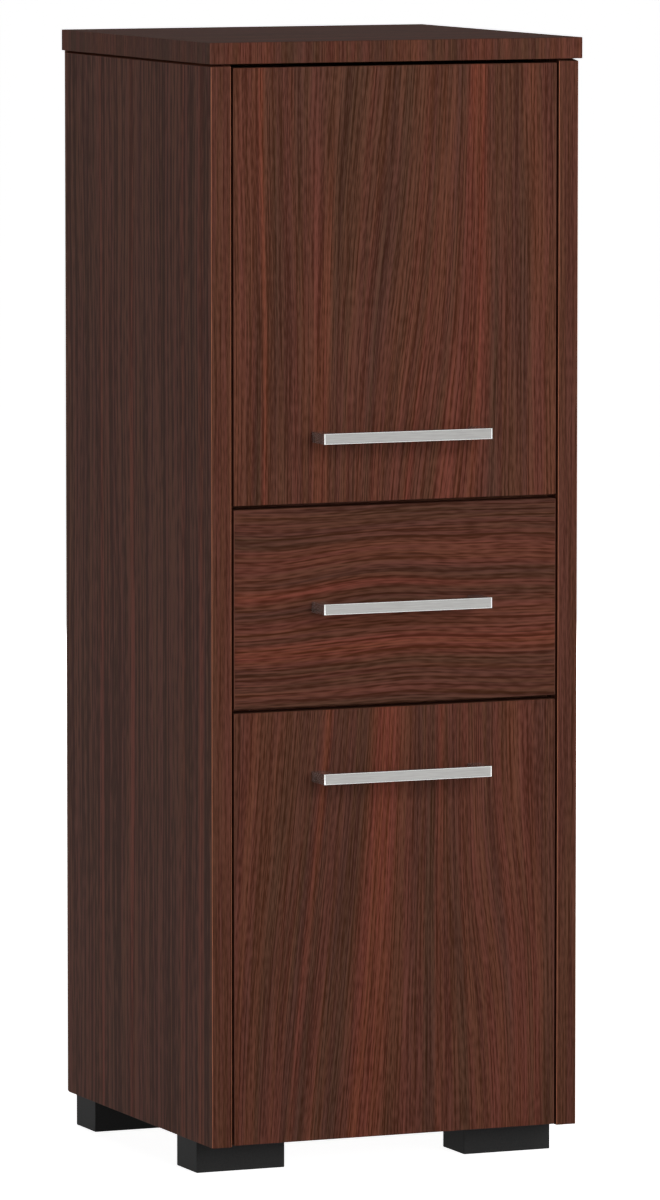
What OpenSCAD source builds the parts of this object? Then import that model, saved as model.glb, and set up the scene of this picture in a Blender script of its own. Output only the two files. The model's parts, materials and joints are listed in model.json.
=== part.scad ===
// Tall narrow bathroom cabinet: an upper door, a drawer and a lower door between two side panels.
// Sizes are in millimetres. X runs to the right, Y to the rear and Z up.
// The origin lies on the floor under the middle of the whole object, handles included.

/* [Cabinet] */
// Width of the body over its side panels
cabinet_w = 300; // [280:5:400]
// Depth of the body from the fronts to the back panel
cabinet_d = 300; // [290:5:400]
// Height from the floor to the top surface
cabinet_h = 855; // [800:5:1000]
// Thickness of the boards
board_t = 16; // [15:1:19]
// How far the top stands past each side panel
top_overhang = 2; // [0:0.5:10]
// How far the top stands past the fronts
top_front_overhang = 3; // [0:0.5:10]
// Thickness of the back panel
back_t = 3; // [2.5:0.5:5]

/* [Fronts] */
// Thickness of the doors and the drawer front
front_t = 16; // [15:1:19]
// Height of the drawer front
drawer_front_h = 150; // [140:5:180]
// Height of the lower door
lower_door_h = 327; // [250:1:360]
// Gap between one front and the next, and under the top
front_gap = 3; // [2:0.5:4]
// Gap between the fronts and the side panels
side_gap = 2; // [1.5:0.5:3]
// Gap from the lower door to the level of the body's underside
bottom_gap = 1; // [0.5:0.5:3]
// Gap from the back of the fronts to the edges of the boards behind them
stop_gap = 3; // [2.5:0.5:5]
// Running gap between the closed fronts and their bumpers
bumper_play = 0.3; // [0.1:0.1:0.8]
// Radius of a bumper
bumper_r = 3; // [2:0.25:3]
// Distance of the bumpers from the side panels
bumper_side_in = 22; // [12:1:40]

/* [Feet] */
// Width of a foot
foot_w = 72; // [50:1:90]
// Depth of a foot
foot_d = 40; // [30:1:60]
// Height of a foot
foot_h = 25; // [18:1:60]
// Inset of the feet from the outer faces of the side panels
foot_side_in = 3.5; // [0:0.5:10]
// Inset of the front feet from the fronts
foot_front_in = 40; // [20:1:60]
// Inset of the rear feet from the rear edges of the side panels
foot_back_in = 8; // [0:1:30]
// Radius of the hole that sinks a foot screw's head
foot_sink_r = 5; // [4.5:0.5:7]
// Height of plastic left under a foot screw's head
foot_web = 8; // [5:1:12]
// Distance between the two screws of a foot
foot_screw_pitch = 28; // [20:1:36]

/* [Handles] */
// Length of a handle
handle_l = 138; // [100:1:180]
// Height of the handle bar
handle_bar_h = 8; // [6:0.5:12]
// Thickness of the handle bar, front to back
handle_bar_t = 6; // [4:0.5:8]
// Width of a handle leg
handle_leg_w = 10; // [8:0.5:12]
// How far a handle stands off its front
handle_reach = 24; // [20:1:35]
// Distance of a door handle from the door's nearest edge
handle_edge_in = 50; // [30:1:80]
// Radius of a handle screw
handle_screw_r = 2; // [1.5:0.25:2.5]
// How deep a handle screw goes into its leg
handle_screw_in = 9; // [6:1:12]

/* [Shelves] */
// Thickness of the shelves
shelf_t = 16; // [12:1:19]
// Distance of the shelves' front edges from the fronts
shelf_front_in = 45; // [40:1:80]
// Gap round a shelf
shelf_gap = 0.5; // [0.3:0.1:1.5]
// Height of the upper shelf's underside above the upper divider
upper_shelf_rise = 153; // [100:1:200]
// Height of the lower shelf's underside above the bottom panel
lower_shelf_rise = 145; // [100:1:200]
// Radius of a shelf pin
pin_r = 2.5; // [2:0.25:3]
// Depth of a shelf pin hole
pin_hole_depth = 10; // [8:0.5:12]
// Distance between holes in a row of pin holes
pin_pitch = 32; // [25:1:40]
// Distance of the front pin rows from the fronts
pin_front_in = 76; // [70:1:100]
// Distance of the rear pin rows from the rear edges of the side panels
pin_back_in = 50; // [37:1:80]
// Length of the tongue that carries the shelf
pin_tongue_l = 8; // [6:0.5:12]
// Width of the tongue
pin_tongue_w = 9; // [6:0.5:12]
// Thickness of the tongue
pin_tongue_t = 2.5; // [1.5:0.25:4]

/* [Knock-down fittings] */
// Radius of a cam lock
cam_r = 7.5; // [6:0.25:7.5]
// Depth of a cam lock's hole
cam_depth = 12.5; // [12:0.25:13]
// Distance of a cam lock's centre from the end of its board
cam_edge_in = 24; // [20:1:34]
// Radius of a cam bolt's thread
bolt_r = 2.9; // [2:0.1:3]
// Depth of a cam bolt's thread in its board
bolt_thread_l = 10.5; // [8:0.5:11]
// Radius of the hole that a cam bolt's shank passes through
bolt_bore_r = 4; // [3.5:0.25:4.5]
// Radius of a dowel
dowel_r = 4; // [3:0.5:4]
// Depth of a dowel in the end of a board
dowel_end_l = 20; // [15:1:25]
// Depth of a dowel in the face of a board
dowel_face_l = 10; // [8:0.5:11]
// Distance of the front cam locks from the fronts
cam_front_in = 100; // [90:1:120]
// Distance of the rear cam locks from the rear edges of the side panels
cam_back_in = 76; // [72:1:100]
// Distance of the front dowels from the fronts
dowel_front_in = 40; // [32:1:46]
// Distance of the rear dowels from the rear edges of the side panels
dowel_back_in = 56; // [52:1:64]
// Clearance round whatever sits in a drilled hole
hole_fit = 0.05; // [0.02:0.01:0.1]

/* [Hinges] */
// Distance of the hinges from the top and bottom of a door
hinge_end_in = 70; // [55:1:110]
// Radius of a hinge cup
cup_r = 17.5; // [17.5:0.25:18]
// Depth of a hinge cup in the door
cup_depth = 11.5; // [11.5:0.25:12.5]
// Wood left between a hinge cup's hole and the door's edge
cup_edge_in = 4; // [3.5:0.5:6]
// Thickness of the flange on a hinge cup
cup_flange_t = 0.9; // [0.5:0.1:0.9]
// Distance between the two screws of a hinge cup
cup_screw_pitch = 48; // [44:1:52]
// Radius of the hinge pins
hinge_pin_r = 1.1; // [0.9:0.1:1.2]
// Running clearance of the hinge pins
hinge_run = 0.05; // [0.02:0.01:0.09]
// Distance of the mounting plates' screws from the back of the doors
plate_screw_in = 37; // [37:1:45]
// Distance between the two screws of a mounting plate
plate_screw_pitch = 32; // [30:1:40]

/* [Drawer] */
// Width taken by each pair of runners beside the drawer
runner_space = 12.5; // [12.5:0.1:13]
// Length of the runners and of the drawer sides
runner_l = 250; // [240:5:260]
// Thickness of the runners' steel
runner_t = 1.2; // [1:0.1:1.3]
// Height of the drawer sides
drawer_side_h = 100; // [80:5:105]
// Thickness of the drawer sides and back
drawer_board_t = 12; // [12:1:16]
// Height of the drawer above the divider under it
drawer_lift = 12.5; // [6:0.5:20]
// Thickness of the drawer bottom
drawer_bottom_t = 3; // [2.5:0.5:4]
// Height of the groove for the drawer bottom above the drawer's underside
groove_up = 8; // [8:0.5:10]
// Depth of the groove for the drawer bottom
groove_in = 6; // [4:0.5:7]
// Radius of a runner's roller
roller_r = 9; // [8:0.5:9]
// Width of a runner's roller
roller_w = 5; // [4:0.25:5.2]
// Radius of a roller's axle
axle_r = 2.5; // [2:0.25:3]
// Running clearance of a roller on its axle
axle_run = 0.08; // [0.03:0.01:0.09]
// Gap between a roller and the track that it runs on
track_gap = 0.3; // [0.2:0.05:0.5]
// Distance of the rollers from the ends of their runners
roller_end_in = 12; // [11:1:16]

/* [Hidden] */
$fn = 48;

wood = [0.30, 0.18, 0.15];
side_wood = [0.26, 0.18, 0.16];
hardboard = [0.36, 0.27, 0.22];
steel = [0.78, 0.78, 0.80];
satin = [0.74, 0.75, 0.74];
plastic = [0.14, 0.14, 0.14];
nylon = [0.92, 0.92, 0.90];
beech = [0.80, 0.66, 0.48];
rubber = [0.80, 0.80, 0.78];

// How far a cutting shape runs past the face that it cuts
cut = 1;

// Main planes and edges
y_front = (handle_reach - cabinet_d) / 2;
y_back = y_front + cabinet_d;
y_side_back = y_back - back_t;
y_door_back = y_front + front_t;
y_rail = y_door_back + stop_gap;
x_outer = cabinet_w / 2;
x_inner = x_outer - board_t;
z_side = foot_h;
z_top = cabinet_h - board_t;
z_lower_door = z_side + bottom_gap;
z_drawer = z_lower_door + lower_door_h + front_gap;
z_upper_door = z_drawer + drawer_front_h + front_gap;
upper_door_h = z_top - front_gap - z_upper_door;
z_lower_divider = z_drawer - (front_gap + board_t) / 2;
z_upper_divider = z_upper_door - (front_gap + board_t) / 2;
x_front = x_inner - side_gap;
handle_pitch = handle_l - handle_leg_w;
upper_handle_z = z_upper_door + handle_edge_in;
lower_handle_z = z_lower_door + lower_door_h - handle_edge_in;
drawer_handle_z = z_drawer + drawer_front_h / 2;
rail_levels = [z_side, z_lower_divider, z_upper_divider];

// Back panel, a little inside the outline of the body
back_margin = 0.5;
nail_rows = 5;
nail_r = 0.8;
nail_head_r = 1.75;
nail_head_t = 0.8;
nail_l = 18;

// Rows of fittings, as Y positions
cam_rows = [y_front + cam_front_in, y_side_back - cam_back_in];
dowel_rows = [y_front + dowel_front_in, y_side_back - dowel_back_in];
pin_rows = [y_front + pin_front_in, y_side_back - pin_back_in];
z_upper_shelf = z_upper_divider + board_t + upper_shelf_rise;
z_lower_shelf = z_side + board_t + lower_shelf_rise;
z_pin_drop = pin_tongue_t / 2;

// Cam bolt beyond its thread: shank, neck and head
bolt_shank_r = 2.4;
bolt_neck_r = 1.6;
bolt_head_r = 3;
bolt_neck_l = 2.5;
bolt_head_l = 3.5;
cam_recess = 0.3;
cam_play = 0.2;
cam_passage_r = 3.4;
cam_slot = [8, 1.4, 1.6];

// Wood screws
screw_r = 1.7;
screw_head_r = 3.2;
screw_head_t = 1.3;
screw_in = 10.5;
foot_screw_r = 2;
foot_screw_head_r = 4;
foot_screw_head_t = 2.5;
foot_screw_in = 11;
foot_screw_margin = 4;
handle_head_r = 4;
handle_head_t = 2.2;

// Hinge, in a frame with X from the side panel inwards and Y from the door's back to the rear
cup_x = side_gap + cup_edge_in + cup_r;
upper_hinge_levels = [z_upper_door + hinge_end_in, z_upper_door + upper_door_h - hinge_end_in];
lower_hinge_levels = [z_lower_door + hinge_end_in, z_lower_door + lower_door_h - hinge_end_in];
cup_centre = [cup_x, 0];
inner_arm_offset = [8.1, 10];
outer_arm_offset = [12.4, -7.9];
inner_cup_offset = [-11.7, -6.6];
outer_cup_offset = [-7.6, -8.6];
inner_knee_offset = [-2.8, -8.6];
inner_arm_pin = cup_centre + inner_arm_offset;
outer_arm_pin = cup_centre + outer_arm_offset;
inner_cup_pin = cup_centre + inner_cup_offset;
outer_cup_pin = cup_centre + outer_cup_offset;
inner_knee = cup_centre + inner_knee_offset;
inner_link_z = 3;
inner_link_r = 0.95;
inner_knuckle_r = 2;
outer_link_z = [3.4, 5.4];
outer_link_r = 1.3;
outer_knuckle_r = 1.9;
outer_barrel_r = 2.4;
arm_z = [5.8, 7.2];
arm_tip_r = 2.4;
arm_elbow_r = 3.2;
arm_bar_r = 2.2;
arm_crank_r = 3;
arm_web_t = 1.5;
crank_clear = 5;
cup_pocket_x = 15.1;
cup_pocket_z = 7.5;
cup_floor_t = 0.8;
cup_pin_half = 9;
cup_stub_z = 5.7;
cup_flange_r = 19.3;
cup_wing = [0.5, 11.5];
cup_wing_half = 30;
cup_screw_x = 6;
hinge_play = 0.2;
plate_h = 12.4;
plate_half_z = arm_z[0] - hinge_play;
plate_half_y = 15;
plate_y = [plate_screw_in - plate_half_y, plate_screw_in + plate_half_y];
plate_wing_t = 2;
plate_wing_half_y = 7;
plate_wing_end = 6;
arm_seat = plate_h + hinge_play;
arm_foot_low = 4;
arm_step = 2;
arm_y = [plate_y[0] - arm_step, plate_y[1]];
arm_crank_end = [arm_seat - arm_web_t, plate_y[0] + arm_step];
arm_screw_in = 7;
arm_screw_y = plate_screw_in + arm_screw_in;
arm_screw_r = 1.8;
arm_screw_end = 5;

// Drawer and its runners; the runners' own frame has X from the cabinet side inwards
z_drawer_box = z_lower_divider + board_t + drawer_lift;
drawer_x = x_inner - runner_space;
drawer_inner_x = drawer_x - drawer_board_t;
drawer_y = [y_door_back, y_door_back + runner_l];
z_groove = z_drawer_box + groove_up;
groove_play = 0.1;
runner_setback = 2;
runner_low = -(roller_r + track_gap + runner_t);
roller_lift = 1.8;
front_roller_z = roller_lift;
flange_low = front_roller_z + roller_r + track_gap;
cabinet_rail_top = flange_low - track_gap;
cabinet_lip = 10.3;
drawer_flange_x = 2.5;
runner_z = z_drawer_box - runner_low - runner_t;
cabinet_runner_y = [y_door_back + runner_setback, y_door_back + runner_setback + runner_l];
front_roller_y = cabinet_runner_y[0] + roller_end_in;
rear_roller_y = drawer_y[1] - roller_end_in;
front_roller_x = 2.6;
rear_roller_x = 4.2;
roller_side_gap = 0.3;
axle_head_r = 4;
axle_head_t = 0.9;
cabinet_screw_rows = [30, 118, 225];
drawer_screw_rows = [22, 125, 215];
runner_screw_z = 5;
drawer_screw_in = 9;
drawer_cam_r = 6;
drawer_cam_depth = 9.5;
drawer_cam_in = 20;
drawer_bolt_r = 2;
drawer_bolt_thread = 9;
drawer_cam_up = 28;
drawer_cam_down = 20;
drawer_cam_levels = [z_drawer_box + drawer_cam_up, z_drawer_box + drawer_side_h - drawer_cam_down];
box_screw_up = 30;
box_screw_down = 18;
box_screw_levels = [z_drawer_box + box_screw_up, z_drawer_box + drawer_side_h - box_screw_down];
box_screw_r = 1.9;
box_screw_head_r = 3.4;
box_screw_head_t = 2;
box_screw_l = 38;

// Basic shapes
module block(low, high) {
    translate(low) cube(high - low);
}

module rod_x(x0, x1, y, z, r) {
    translate([x0, y, z]) rotate([0, 90, 0]) cylinder(h = x1 - x0, r = r);
}

module rod_y(y0, y1, x, z, r) {
    translate([x, y1, z]) rotate([90, 0, 0]) cylinder(h = y1 - y0, r = r);
}

module rod_z(z0, z1, x, y, r) {
    translate([x, y, z0]) cylinder(h = z1 - z0, r = r);
}

// A flat bar from p to q in the XY plane, from z0 to z1, r wide to each side
module bar(p, q, r, z0, z1) {
    d = q - p;
    translate([p.x, p.y, z0]) rotate([0, 0, atan2(d.y, d.x)])
        translate([0, -r, 0]) cube([norm(d), 2 * r, z1 - z0]);
}

// The unit vector a quarter turn to the left of the way from p to q
function left_of(p, q) = [p.y - q.y, q.x - p.x] / norm(q - p);

// A flat bar from p over a mitred corner at k to q, from z0 to z1, r wide to each side
module bent_bar(p, k, q, r, z0, z1) {
    a = left_of(p, k);
    b = left_of(k, q);
    mitre = (a + b) / (1 + a * b) * r;
    translate([0, 0, z0]) linear_extrude(z1 - z0)
        polygon([p + a * r, k + mitre, q + b * r, q - b * r, k - mitre, p - a * r]);
}

// Places what follows at both ends of a horizontal board, with X running into the board
module at_rail_ends(z_mid, rows, sides = [-1, 1]) {
    for (s = sides)
        for (y = rows)
            translate([s * x_inner, y, z_mid]) mirror([s > 0 ? 1 : 0, 0, 0]) children();
}

// Places what follows at the tops of the side panels, with X running down into the panel
module at_side_tops(rows, sides = [-1, 1]) {
    for (s = sides)
        for (y = rows)
            translate([s * (x_inner + board_t / 2), y, z_top])
                rotate([0, 90, 0]) mirror([0, 0, s < 0 ? 1 : 0]) children();
}

// Places what follows at a hinge of a door, in the hinge's own frame
module at_hinges(levels) {
    for (z = levels)
        translate([x_inner, y_door_back, z]) mirror([1, 0, 0]) children();
}

// Places what follows at the runners of one side, in the runner's own frame
module at_runner(s) {
    translate([s * x_inner, 0, runner_z]) mirror([s > 0 ? 1 : 0, 0, 0]) children();
}

// Knock-down fittings: X = 0 is the joint, the cam board is at +X and its open face at -Z
module cam_hole() {
    rod_x(-cut, cam_edge_in, 0, 0, bolt_bore_r);
    rod_z(-board_t / 2 - cut, cam_depth - board_t / 2, cam_edge_in, 0, cam_r + hole_fit);
}

module bolt_hole() {
    rod_x(-bolt_thread_l - hole_fit, cut, 0, 0, bolt_r + hole_fit);
}

module dowel_end_hole() {
    rod_x(-cut, dowel_end_l + hole_fit, 0, 0, dowel_r + hole_fit);
}

module dowel_face_hole() {
    rod_x(-dowel_face_l - hole_fit, cut, 0, 0, dowel_r + hole_fit);
}

module cam_lock() {
    low = cam_recess - board_t / 2;
    difference() {
        rod_z(low, cam_depth - board_t / 2, cam_edge_in, 0, cam_r);
        rod_x(cam_edge_in - cam_r - cut, cam_edge_in + bolt_head_l, 0, 0, cam_passage_r);
        translate([cam_edge_in - cam_slot.x / 2, -cam_slot.y / 2, low - cut])
            cube([cam_slot.x, cam_slot.y, cam_slot.z + cut]);
        translate([cam_edge_in - cam_slot.y / 2, -cam_slot.x / 2, low - cut])
            cube([cam_slot.y, cam_slot.x, cam_slot.z + cut]);
    }
}

module cam_bolt() {
    neck = cam_edge_in - bolt_neck_l;
    rod_x(-bolt_thread_l, 0, 0, 0, bolt_r);
    rod_x(0, neck, 0, 0, bolt_shank_r);
    rod_x(neck, cam_edge_in, 0, 0, bolt_neck_r);
    rod_x(cam_edge_in - hole_fit, cam_edge_in + bolt_head_l - cam_play, 0, 0, bolt_head_r);
}

module dowel() {
    rod_x(-dowel_face_l, dowel_end_l, 0, 0, dowel_r);
}

// Carcass boards
module top_panel() {
    color(side_wood) difference() {
        block([-x_outer - top_overhang, y_front - top_front_overhang, z_top],
              [x_outer + top_overhang, y_back, cabinet_h]);
        at_side_tops(cam_rows) bolt_hole();
        at_side_tops(dowel_rows) dowel_face_hole();
    }
}

module side_panel(s) {
    difference() {
        block([s > 0 ? x_inner : -x_outer, y_front, z_side],
              [s > 0 ? x_outer : -x_inner, y_side_back, z_top]);
        for (z = rail_levels) {
            at_rail_ends(z + board_t / 2, cam_rows, [s]) bolt_hole();
            at_rail_ends(z + board_t / 2, dowel_rows, [s]) dowel_face_hole();
        }
        at_side_tops(cam_rows, [s]) cam_hole();
        at_side_tops(dowel_rows, [s]) dowel_end_hole();
        nail_holes();
        for (z = [z_upper_shelf, z_lower_shelf])
            for (k = [-1, 0, 1])
                for (y = pin_rows)
                    translate([s * x_inner, y, z - z_pin_drop + k * pin_pitch])
                        rod_x(-pin_hole_depth, pin_hole_depth, 0, 0, pin_r + hole_fit);
        at_runner(s)
            for (v = cabinet_screw_rows)
                rod_x(-screw_in - hole_fit, cut,
                      cabinet_runner_y[0] + v, runner_screw_z, screw_r + hole_fit);
        if (s > 0)
            at_hinges(concat(upper_hinge_levels, lower_hinge_levels))
                for (z = [-1, 1])
                    rod_x(-screw_in - hole_fit, cut,
                          plate_screw_in, z * plate_screw_pitch / 2, screw_r + hole_fit);
    }
}

module left_side_panel() {
    color(side_wood) side_panel(-1);
}

module right_side_panel() {
    color(side_wood) side_panel(1);
}

module rail_board(z0) {
    difference() {
        block([-x_inner, y_rail, z0], [x_inner, y_side_back, z0 + board_t]);
        at_rail_ends(z0 + board_t / 2, cam_rows) cam_hole();
        at_rail_ends(z0 + board_t / 2, dowel_rows) dowel_end_hole();
        nail_holes();
    }
}

module bottom_panel() {
    color(wood) difference() {
        rail_board(z_side);
        at_feet() foot_screw_hole();
    }
}

module upper_divider() {
    color(wood) rail_board(z_upper_divider);
}

module lower_divider() {
    color(wood) rail_board(z_lower_divider);
}

// Back panel and its nails
module at_nails() {
    x_nail = x_outer - board_t / 2;
    z_low = z_side + board_t / 2;
    z_high = z_top - 2 * board_t;
    for (s = [-1, 1])
        for (i = [0 : nail_rows - 1])
            translate([s * x_nail, y_back, z_low + (z_high - z_low) * i / (nail_rows - 1)]) children();
    for (z = rail_levels)
        translate([0, y_back, z + board_t / 2]) children();
}

module nail_shape(fit) {
    rod_y(-nail_l - fit, 0, 0, 0, nail_r + fit);
    rod_y(-nail_head_t - fit, cut * sign(fit), 0, 0, nail_head_r + fit);
}

module nail_holes() {
    at_nails() nail_shape(hole_fit);
}

module back_panel() {
    x = x_outer - back_margin;
    color(hardboard) difference() {
        block([-x, y_side_back, z_side + back_margin], [x, y_back, z_top]);
        nail_holes();
    }
}

module back_panel_nails() {
    color(steel) at_nails() nail_shape(0);
}

// Shelves on their pins
module shelf(z0) {
    x = x_inner - shelf_gap;
    block([-x, y_front + shelf_front_in, z0], [x, y_side_back - shelf_gap, z0 + shelf_t]);
}

module upper_shelf() {
    color(wood) shelf(z_upper_shelf);
}

module lower_shelf() {
    color(wood) shelf(z_lower_shelf);
}

module shelf_pins() {
    color(steel)
        for (z = [z_upper_shelf, z_lower_shelf])
            for (y = pin_rows)
                for (s = [-1, 1])
                    translate([s * x_inner, y, z]) mirror([s > 0 ? 1 : 0, 0, 0]) {
                        rod_x(-pin_hole_depth + hole_fit, 0, 0, -z_pin_drop, pin_r);
                        translate([0, -pin_tongue_w / 2, -pin_tongue_t])
                            cube([pin_tongue_l, pin_tongue_w, pin_tongue_t]);
                    }
}

// Feet
module at_foot(s, rear) {
    x = x_outer - foot_side_in - foot_w / 2;
    y = rear ? y_side_back - foot_back_in - foot_d / 2 : y_front + foot_front_in + foot_d / 2;
    translate([s * x, y, 0]) children();
}

module at_feet() {
    for (s = [-1, 1])
        for (rear = [false, true])
            at_foot(s, rear) mirror([s > 0 ? 1 : 0, 0, 0]) children();
}

// The screws stand towards the cabinet's middle, clear of the side panel
module at_foot_screws() {
    last = foot_w / 2 - foot_sink_r - foot_screw_margin;
    for (x = [last - foot_screw_pitch, last])
        translate([x, 0, 0]) children();
}

module foot_screw_hole() {
    at_foot_screws() rod_z(foot_h - cut, foot_h + foot_screw_in + hole_fit, 0, 0, foot_screw_r + hole_fit);
}

module foot(s, rear) {
    color(plastic) at_foot(s, rear) mirror([s > 0 ? 1 : 0, 0, 0]) difference() {
        block([-foot_w / 2, -foot_d / 2, 0], [foot_w / 2, foot_d / 2, foot_h]);
        at_foot_screws() {
            rod_z(-cut, foot_h + cut, 0, 0, foot_screw_r + hole_fit);
            rod_z(-cut, foot_h - foot_web, 0, 0, foot_sink_r);
        }
    }
}

module front_left_foot() {
    foot(-1, false);
}

module front_right_foot() {
    foot(1, false);
}

module rear_left_foot() {
    foot(-1, true);
}

module rear_right_foot() {
    foot(1, true);
}

module foot_screws() {
    seat = foot_h - foot_web;
    color(steel) at_feet() at_foot_screws() {
        rod_z(seat, foot_h + foot_screw_in, 0, 0, foot_screw_r);
        rod_z(seat - foot_screw_head_t, seat, 0, 0, foot_screw_head_r);
    }
}

// Fittings of the carcass
module at_all_joints(rows) {
    for (z = rail_levels)
        at_rail_ends(z + board_t / 2, rows) children();
    at_side_tops(rows) children();
}

module cam_locks() {
    color(steel) at_all_joints(cam_rows) cam_lock();
}

module cam_bolts() {
    color(steel) at_all_joints(cam_rows) cam_bolt();
}

module dowels() {
    color(beech) at_all_joints(dowel_rows) dowel();
}

// Bumpers on the front edges of the boards that the fronts close against
module bumper(x, z) {
    rod_y(y_door_back + bumper_play, y_rail, x, z, bumper_r);
}

module front_bumpers() {
    x = x_inner - bumper_side_in;
    lap = (board_t - front_gap) / 2;
    color(rubber) {
        bumper(-x, z_upper_door + lap / 2);
        bumper(-x, z_lower_door + lower_door_h - lap / 2);
        bumper(-x, z_side + board_t / 2);
        for (s = [-1, 1]) {
            bumper(s * x, z_drawer + lap / 2);
            bumper(s * x, z_drawer + drawer_front_h - lap / 2);
        }
    }
}

// Bar handle on two legs
module handle(z) {
    x = handle_l / 2;
    y_out = y_front - handle_reach;
    h = handle_bar_h / 2;
    difference() {
        union() {
            block([-x, y_out, z - h], [x, y_out + handle_bar_t, z + h]);
            for (s = [-1, 1])
                translate([s * handle_pitch / 2, 0, 0])
                    block([-handle_leg_w / 2, y_out, z - h], [handle_leg_w / 2, y_front, z + h]);
        }
        at_handle_screws()
            rod_y(y_front - handle_screw_in - hole_fit, y_front + cut, 0, z, handle_screw_r + hole_fit);
    }
}

module at_handle_screws() {
    for (s = [-1, 1])
        translate([s * handle_pitch / 2, 0, 0]) children();
}

module handle_screw_passage(z) {
    at_handle_screws() rod_y(y_front - cut, y_door_back + cut, 0, z, handle_screw_r + hole_fit);
}

module handle_screw_pair(z) {
    color(steel) at_handle_screws() {
        rod_y(y_front - handle_screw_in, y_door_back, 0, z, handle_screw_r);
        rod_y(y_door_back, y_door_back + handle_head_t, 0, z, handle_head_r);
    }
}

// Concealed cup hinge
module cup_hole() {
    rod_y(-cup_depth - hole_fit, cut, cup_x, 0, cup_r + hole_fit);
    for (s = [-1, 1])
        rod_y(-screw_in - hole_fit, cut, cup_x + cup_screw_x, s * cup_screw_pitch / 2, screw_r + hole_fit);
}

module hinge_cup() {
    difference() {
        union() {
            rod_y(-cup_depth, cup_flange_t, cup_x, 0, cup_r);
            rod_y(0, cup_flange_t, cup_x, 0, cup_flange_r);
            block([cup_x + cup_wing[0], 0, -cup_wing_half],
                  [cup_x + cup_wing[1], cup_flange_t, cup_wing_half]);
        }
        block([cup_x - cup_pocket_x, cup_floor_t - cup_depth, -cup_pocket_z],
              [cup_x + cup_pocket_x, cup_flange_t + cut, cup_pocket_z]);
        for (s = [-1, 1])
            rod_y(-cut, cup_flange_t + cut,
                  cup_x + cup_screw_x, s * cup_screw_pitch / 2, screw_r + hole_fit);
    }
    rod_z(-cup_pin_half, cup_pin_half, inner_cup_pin.x, inner_cup_pin.y, hinge_pin_r);
    for (s = [0, 1])
        mirror([0, 0, s]) rod_z(cup_stub_z, cup_pin_half, outer_cup_pin.x, outer_cup_pin.y, hinge_pin_r);
}

module cup_screw_pair() {
    for (s = [-1, 1])
        translate([cup_x + cup_screw_x, 0, s * cup_screw_pitch / 2]) {
            rod_y(-screw_in, cup_flange_t, 0, 0, screw_r);
            rod_y(cup_flange_t, cup_flange_t + screw_head_t, 0, 0, screw_head_r);
        }
}

module inner_link() {
    z = inner_link_z;
    difference() {
        union() {
            bent_bar(inner_cup_pin, inner_knee, inner_arm_pin, inner_link_r, -z, z);
            rod_z(-z, z, inner_cup_pin.x, inner_cup_pin.y, inner_knuckle_r);
            rod_z(-z, z, inner_arm_pin.x, inner_arm_pin.y, outer_barrel_r);
        }
        for (p = [inner_cup_pin, inner_arm_pin])
            rod_z(-z - cut, z + cut, p.x, p.y, hinge_pin_r + hinge_run);
    }
}

// The outer link's plates end beside the cup's stub pins, with room to move
module outer_link() {
    z = outer_link_z[1];
    difference() {
        union() {
            for (s = [0, 1])
                mirror([0, 0, s]) {
                    bar(outer_cup_pin, outer_arm_pin, outer_link_r, outer_link_z[0], z);
                    rod_z(outer_link_z[0], z, outer_cup_pin.x, outer_cup_pin.y, outer_knuckle_r);
                }
            rod_z(-z, z, outer_arm_pin.x, outer_arm_pin.y, outer_barrel_r);
        }
        rod_z(-z - cut, z + cut, outer_arm_pin.x, outer_arm_pin.y, hinge_pin_r + hinge_run);
    }
}

module hinge_arm() {
    d = (arm_crank_end - inner_arm_pin) / norm(arm_crank_end - inner_arm_pin);
    side = [-d.y, d.x] * (arm_crank_r - arm_web_t / 2);
    z = arm_z[1];
    difference() {
        union() {
            for (s = [0, 1])
                mirror([0, 0, s]) {
                    bar(outer_arm_pin, inner_arm_pin, arm_bar_r, arm_z[0], z);
                    bar(inner_arm_pin, arm_crank_end, arm_crank_r, arm_z[0], z);
                    rod_z(arm_z[0], z, outer_arm_pin.x, outer_arm_pin.y, arm_tip_r);
                    rod_z(arm_z[0], z, inner_arm_pin.x, inner_arm_pin.y, arm_elbow_r);
                    block([arm_foot_low, arm_y[0], arm_z[0]], [arm_seat + arm_web_t, arm_y[1], z]);
                }
            bar(inner_arm_pin + d * crank_clear + side,
                [arm_seat + arm_web_t / 2, arm_y[0]], arm_web_t / 2, -z, z);
            block([arm_seat, arm_y[0], -z], [arm_seat + arm_web_t, arm_y[1], z]);
        }
        for (p = [outer_arm_pin, inner_arm_pin])
            rod_z(-z - cut, z + cut, p.x, p.y, hinge_pin_r + hole_fit);
        rod_x(arm_seat - cut, arm_seat + arm_web_t + cut, arm_screw_y, 0, arm_screw_r + hole_fit);
    }
}

module hinge_pin_pair() {
    for (p = [outer_arm_pin, inner_arm_pin])
        rod_z(-arm_z[1], arm_z[1], p.x, p.y, hinge_pin_r);
}

module hinge_plate() {
    wing = plate_screw_pitch / 2 + plate_wing_end;
    difference() {
        union() {
            block([0, plate_y[0], -plate_half_z], [plate_h, plate_y[1], plate_half_z]);
            block([0, plate_screw_in - plate_wing_half_y, -wing],
                  [plate_wing_t, plate_screw_in + plate_wing_half_y, wing]);
        }
        for (s = [-1, 1])
            rod_x(-cut, plate_wing_t + cut, plate_screw_in, s * plate_screw_pitch / 2, screw_r + hole_fit);
        rod_x(arm_screw_end - hole_fit, plate_h + cut, arm_screw_y, 0, arm_screw_r + hole_fit);
    }
}

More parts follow.
